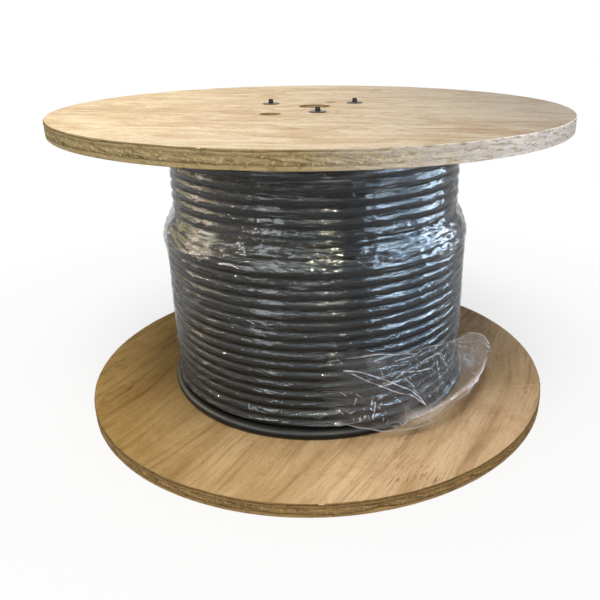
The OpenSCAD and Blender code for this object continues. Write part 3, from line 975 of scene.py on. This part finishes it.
# Lamps and cards: name, direction in degrees, height, distance, width and height of the face, watts, colour
DAYLIGHT, WARM_WHITE, SKY, PANE = (1.0, 0.98, 0.95), (1.0, 0.97, 0.9), (0.42, 0.70, 1.0), (0.64, 0.81, 1.0)
LAMPS = [
    ("key_above_front", -94, 2.9, 1.3, 1.5, 1.1, 78.0, DAYLIGHT),
    ("overhead_left", 175, 1.4, 0.45, 0.6, 0.6, 1.5, DAYLIGHT),
]
WINDOWS = [
    ("window_right", 5, 0.5, 1.5, 0.75, 0.55, 46.0, PANE),
    ("window_far_right", -37, 0.55, 1.5, 0.6, 0.55, 34.0, PANE),
]
CARDS = [
    ("sky_right", -20, 0.75, 1.6, 1.8, 1.0, 36.0, SKY),
    ("wall_left", 170, 0.75, 1.6, 1.6, 1.0, 19.0, (1.0, 0.86, 0.42)),
    ("strip_left_front", -123, 0.6, 1.5, 0.45, 0.8, 16.0, (0.88, 0.94, 1.0)),
    ("sky_front", -88, 0.75, 1.6, 1.0, 0.5, 9.0, (0.66, 0.83, 1.0)),
    ("lamp_front", -80, 0.9, 1.5, 0.06, 0.2, 26.0, (1.0, 0.93, 0.62)),
    ("warm_left", 175, 0.5, 1.4, 0.3, 0.5, 3.5, (1.0, 0.80, 0.74)),
]
PANE_SHARE, PANE_OFFSET = 0.42, 0.27

# Small lamps to the left: direction and height of each, and what they share
SMALL_LAMPS = (
    (-178, 0.6), (-169, 0.95), (-160, 0.7), (-151, 0.85), (-141, 0.65), (-130, 0.9), (-104, 0.75),
)
SMALL_LAMP_AWAY, SMALL_LAMP_SIZE, SMALL_LAMP_POWER = 1.5, 0.07, 6.0


def studio_floor():
    """White floor: camera, gloss and clear film see it almost plain, with a soft shadow near the reel."""
    bm = bmesh.new()
    bmesh.ops.create_grid(bm, x_segments=1, y_segments=1, size=FLOOR_SIZE)
    mesh = bpy.data.meshes.new("studio_floor")
    bm.to_mesh(mesh)
    bm.free()
    floor = bpy.data.objects.new("studio_floor", mesh)
    bpy.context.scene.collection.objects.link(floor)
    paint = Finish("floor_white", roughness=0.9, specular=0.0)
    paint.shader.inputs["Base Color"].default_value = (FLOOR_GREY, FLOOR_GREY, FLOOR_GREY, 1.0)
    glow = paint.add("Emission", {"Color": WHITE, "Strength": 1.0})
    rays = paint.add("LightPath").outputs
    away = paint.add("VectorMath", {0: paint.where}, operation="LENGTH").outputs["Value"]
    looked_at = rays["Is Camera Ray"]
    for kind in MIRROR_RAYS:
        looked_at = paint.math("MAXIMUM", looked_at, rays[kind])
    whiteness = paint.span(away, SHADOW_NEAR, SHADOW_FAR, SHADOW_LEAST_WHITE, 1.0)
    seen = paint.math("MULTIPLY", looked_at, whiteness)
    shown = paint.add("MixShader", {0: seen, 1: paint.shader.outputs[0], 2: glow.outputs[0]})
    paint.tree.links.new(shown.outputs[0], paint.tree.nodes["Material Output"].inputs["Surface"])
    mesh.materials.append(paint.material)
    floor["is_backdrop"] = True


def studio_world():
    """Soft light from all round; white where the camera, gloss or clear film looks past the reel."""
    world = bpy.data.worlds.new("studio")
    bpy.context.scene.world = world
    world.use_nodes = True
    tree = world.node_tree
    soft = tree.nodes["Background"]
    soft.inputs["Color"].default_value = SOFT_LIGHT
    soft.inputs["Strength"].default_value = SOFT_STRENGTH
    white = tree.nodes.new("ShaderNodeBackground")
    white.inputs["Color"].default_value = WHITE
    rays = tree.nodes.new("ShaderNodeLightPath").outputs
    looked_at = rays["Is Camera Ray"]
    for kind in MIRROR_RAYS:
        either = tree.nodes.new("ShaderNodeMath")
        either.operation = "MAXIMUM"
        tree.links.new(looked_at, either.inputs[0])
        tree.links.new(rays[kind], either.inputs[1])
        looked_at = either.outputs[0]
    shown = tree.nodes.new("ShaderNodeMixShader")
    tree.links.new(looked_at, shown.inputs[0])
    tree.links.new(soft.outputs[0], shown.inputs[1])
    tree.links.new(white.outputs[0], shown.inputs[2])
    tree.links.new(shown.outputs[0], tree.nodes["World Output"].inputs["Surface"])


def softbox(name, degrees, height, away, width, tall, power, colour, gloss_only=False):
    """A rectangular lamp that faces the reel's middle, or a card that only the glossy pieces show."""
    lamp = bpy.data.lights.new(name, "AREA")
    lamp.shape = "RECTANGLE"
    lamp.size, lamp.size_y = width, tall
    lamp.energy = power
    lamp.color = colour
    box = bpy.data.objects.new(name, lamp)
    bpy.context.scene.collection.objects.link(box)
    if gloss_only:
        box.visible_diffuse = False
        box.light_linking.receiver_collection = GLOSSY_PIECES
    box.location = polar(away, degrees, height)
    target = Vector((0, 0, 0.5 * UPPER_TOP))
    box.rotation_euler = (target - box.location).to_track_quat("-Z", "Y").to_euler()


def window(name, degrees, height, away, width, tall, power, colour):
    """A window of four panes, seen only in gloss."""
    size = (PANE_SHARE * width, PANE_SHARE * tall)
    for column in (-1, 1):
        for row in (-1, 1):
            turn = degrees + column * math.degrees(PANE_OFFSET * width / away)
            pane = f"{name}_pane_{2 + column}{2 + row}"
            pane_h = height + PANE_OFFSET * row * tall
            softbox(pane, turn, pane_h, away, *size, power / 4, colour, gloss_only=True)


def studio_camera():
    """The photograph's viewpoint, found from both flange rims: in flange radii from the reel's axis."""
    eye = Vector((0.1256, -2.6738, 1.4933)) * FLANGE_R
    look_down, roll = 23.101, -0.1751
    view = bpy.data.cameras.new("camera")
    view.sensor_width = 36.0
    view.lens = 38.533
    view.shift_x, view.shift_y = -0.0775, 0.0028
    view.clip_start, view.clip_end = 0.01, 50.0
    camera = bpy.data.objects.new("camera", view)
    bpy.context.scene.collection.objects.link(camera)
    tilt = Matrix.Rotation(math.radians(90 - look_down), 4, "X")
    camera.matrix_world = Matrix.Translation(eye) @ tilt @ Matrix.Rotation(math.radians(roll), 4, "Z")
    bpy.context.scene.camera = camera


studio_floor()
studio_world()
for lamp_row in LAMPS:
    softbox(*lamp_row)
for window_row in WINDOWS:
    window(*window_row)
for card_row in CARDS:
    softbox(*card_row, gloss_only=True)
for lamp_turn, lamp_height in SMALL_LAMPS:
    softbox(
        f"small_lamp_{-lamp_turn}", lamp_turn, lamp_height, SMALL_LAMP_AWAY, SMALL_LAMP_SIZE,
        SMALL_LAMP_SIZE, SMALL_LAMP_POWER, WARM_WHITE, gloss_only=True,
    )
studio_camera()
bpy.context.scene.view_settings.view_transform = "Standard"

boxes = {"cad": cad_box, "visual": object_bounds()}
{name: [list(corner) for corner in box] for name, box in boxes.items()}
